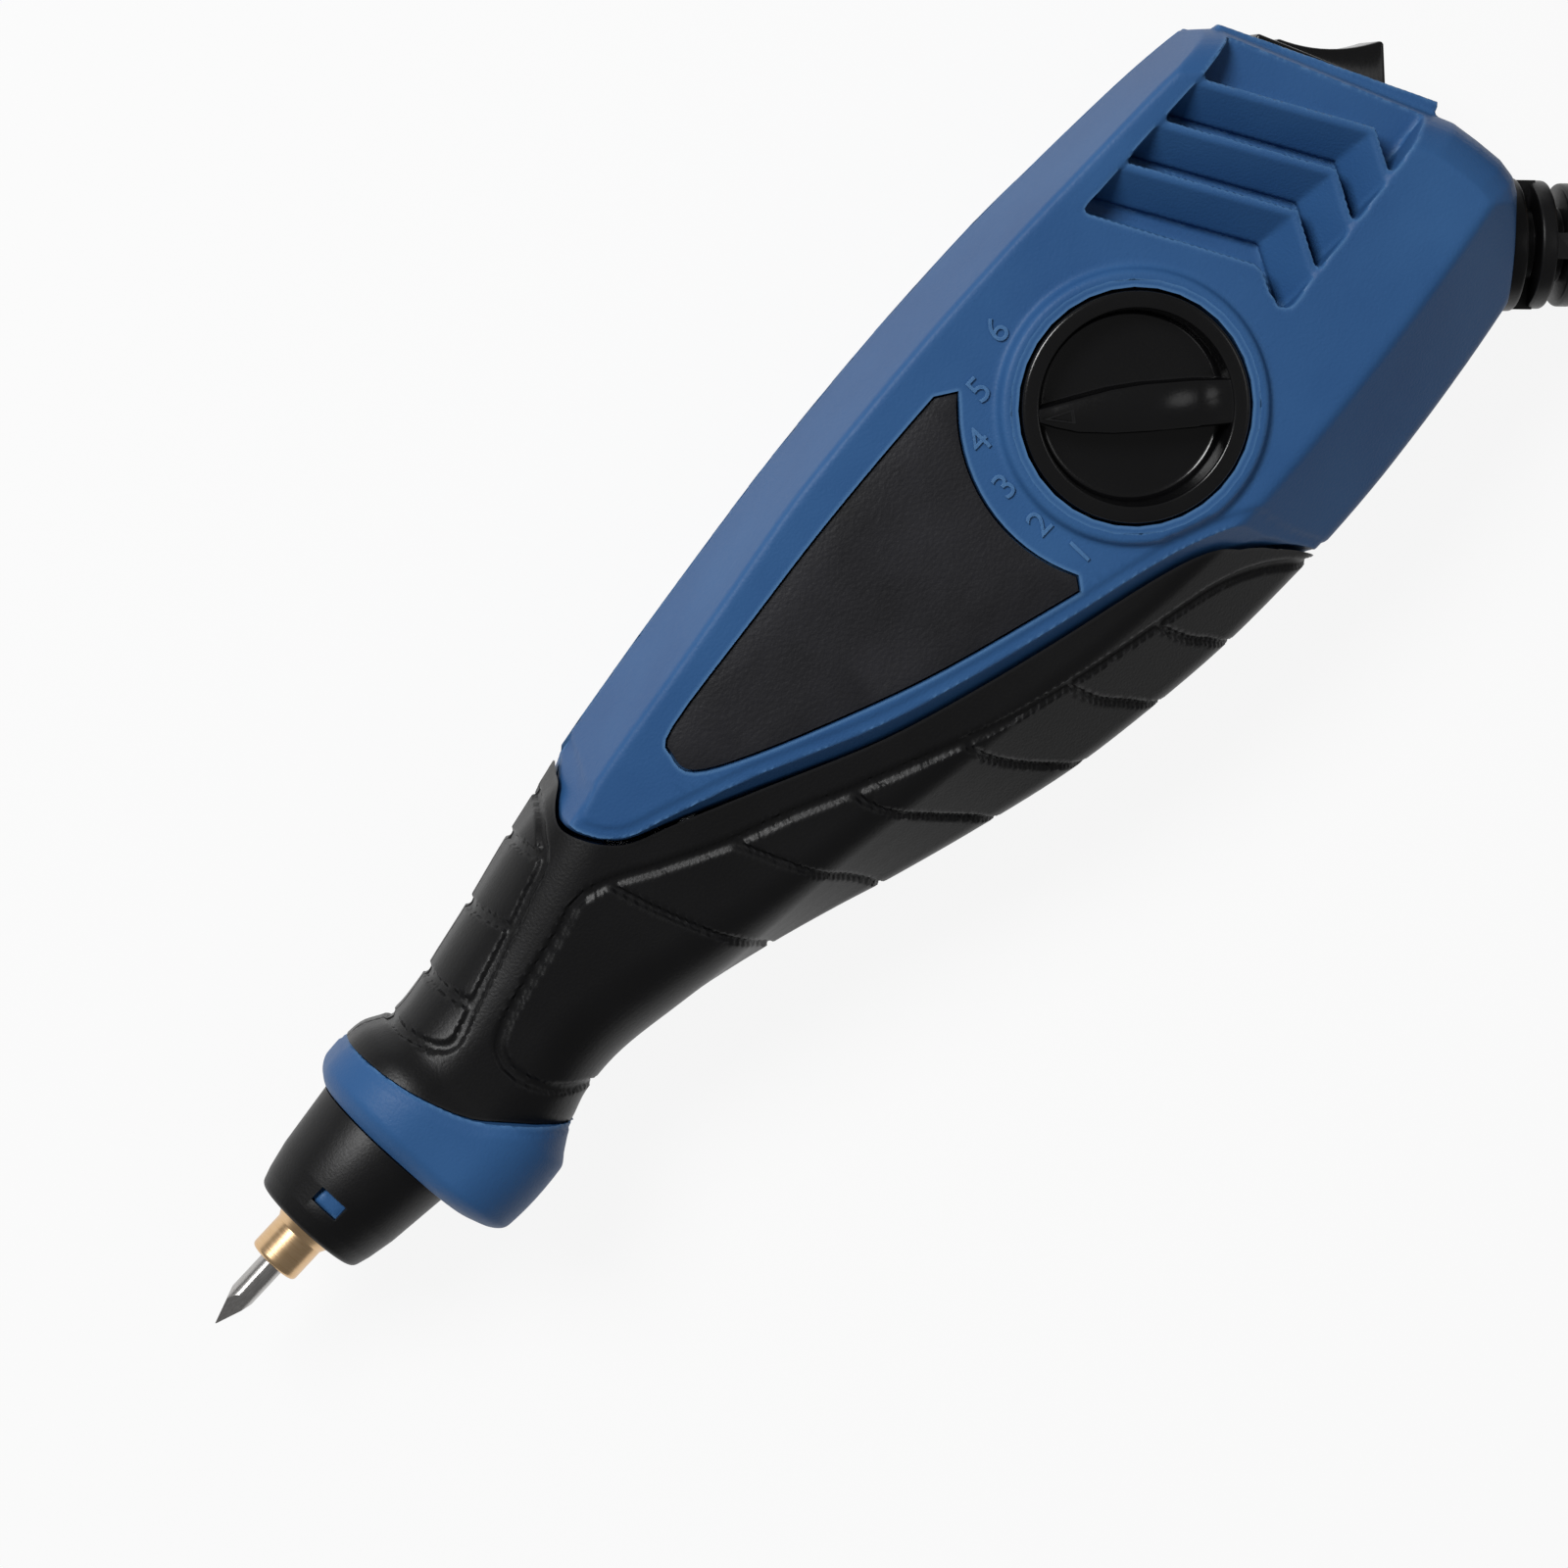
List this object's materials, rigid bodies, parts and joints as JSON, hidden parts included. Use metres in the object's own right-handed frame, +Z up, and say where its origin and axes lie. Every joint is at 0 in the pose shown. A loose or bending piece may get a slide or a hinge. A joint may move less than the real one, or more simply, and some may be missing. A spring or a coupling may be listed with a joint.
{
  "type": "electric engraving pen",
  "caption": "Corded engraving pen: two-part moulded housing with louvred vents, soft grips, a depth dial with a spiral cam, a rocker switch and a brass chuck with a pointed bit.",
  "frame": {"origin": "on the flat back face, under the tool axis, level with the dial's axis; the pen lies on its back", "axes": "+X along the tool axis from the bit to the switch end, +Y towards the upper side of the pen (the side away from the cord outlet), +Z up through the dial"},
  "size_m": [0.3023, 0.1014, 0.0382],
  "materials": {
    "blue_nylon": "satin, fine moulded grain",
    "black_elastomer": "matt soft-touch",
    "black_plastic": "satin",
    "label_black": "fine-grained matt",
    "brass": "turned",
    "steel": "bright",
    "carbide": "ground",
    "sintered_bronze": "porous matt",
    "laminated_iron": "stamped sheet",
    "enamelled_copper": "glossy enamel",
    "natural_nylon": "satin",
    "cable_jacket": "satin"
  },
  "bodies": {
    "housing": {"front_shell": "blue_nylon", "rear_shell": "blue_nylon", "front_grip": "black_elastomer", "rear_grip": "black_elastomer", "label_plate": "label_black", "nose_collar": "blue_nylon", "nose_cap": "black_plastic", "front_bushing": "sintered_bronze", "return_spring": "steel", "buffer": "black_elastomer", "magnet_core": "laminated_iron", "bobbin": "natural_nylon", "winding": "enamelled_copper", "switch_body": "black_plastic", "terminal_1": "brass", "terminal_2": "brass", "shell_screw_1": "steel", "shell_screw_2": "steel", "shell_screw_3": "steel", "shell_screw_4": "steel", "cord_clamp": "natural_nylon", "clamp_screw_1": "steel", "clamp_screw_2": "steel", "strain_relief": "cable_jacket", "cord": "cable_jacket", "cord_coil": "cable_jacket", "cord_tail": "cable_jacket", "cord_tie": "black_elastomer", "plug_body": "cable_jacket", "plug_blade_1": "brass", "plug_blade_2": "brass"},
    "striker": {"chuck": "brass", "engraving_bit": "carbide", "set_screw": "steel", "plunger_rod": "steel", "armature": "laminated_iron"},
    "dial": {"depth_dial": "black_plastic", "dial_cam": "natural_nylon", "dial_screw": "steel"},
    "stop": {"stop_slider": "natural_nylon"},
    "rocker": {"rocker": "black_plastic"}
  },
  "joints": [
    {"name": "plunger_slide", "type": "slide", "parent": "housing", "child": "striker", "axis": [1, 0, 0], "range_m": [0, 0.001], "stiffness_N_per_m": 1500, "springref_m": -0.001, "deforming": ["return_spring"]},
    {"name": "dial_turn", "type": "hinge", "parent": "housing", "child": "dial", "pos_m": [0, -0.0019, 0.018], "axis": [0, 0, 1], "range_deg": [-32, 66]},
    {"name": "stop_slide", "type": "slide", "parent": "housing", "child": "stop", "axis": [1, 0, 0], "range_m": [-0.0006, 0.0003]},
    {"name": "switch_rock", "type": "hinge", "parent": "housing", "child": "rocker", "pos_m": [0.04201, 0.00429, 0.018], "axis": [0, 0, 1], "range_deg": [-40, 0]}
  ],
  "couplings": [
    {"joint": "stop_slide", "follows": "dial_turn", "m_per_rad": -0.0005}
  ]
}
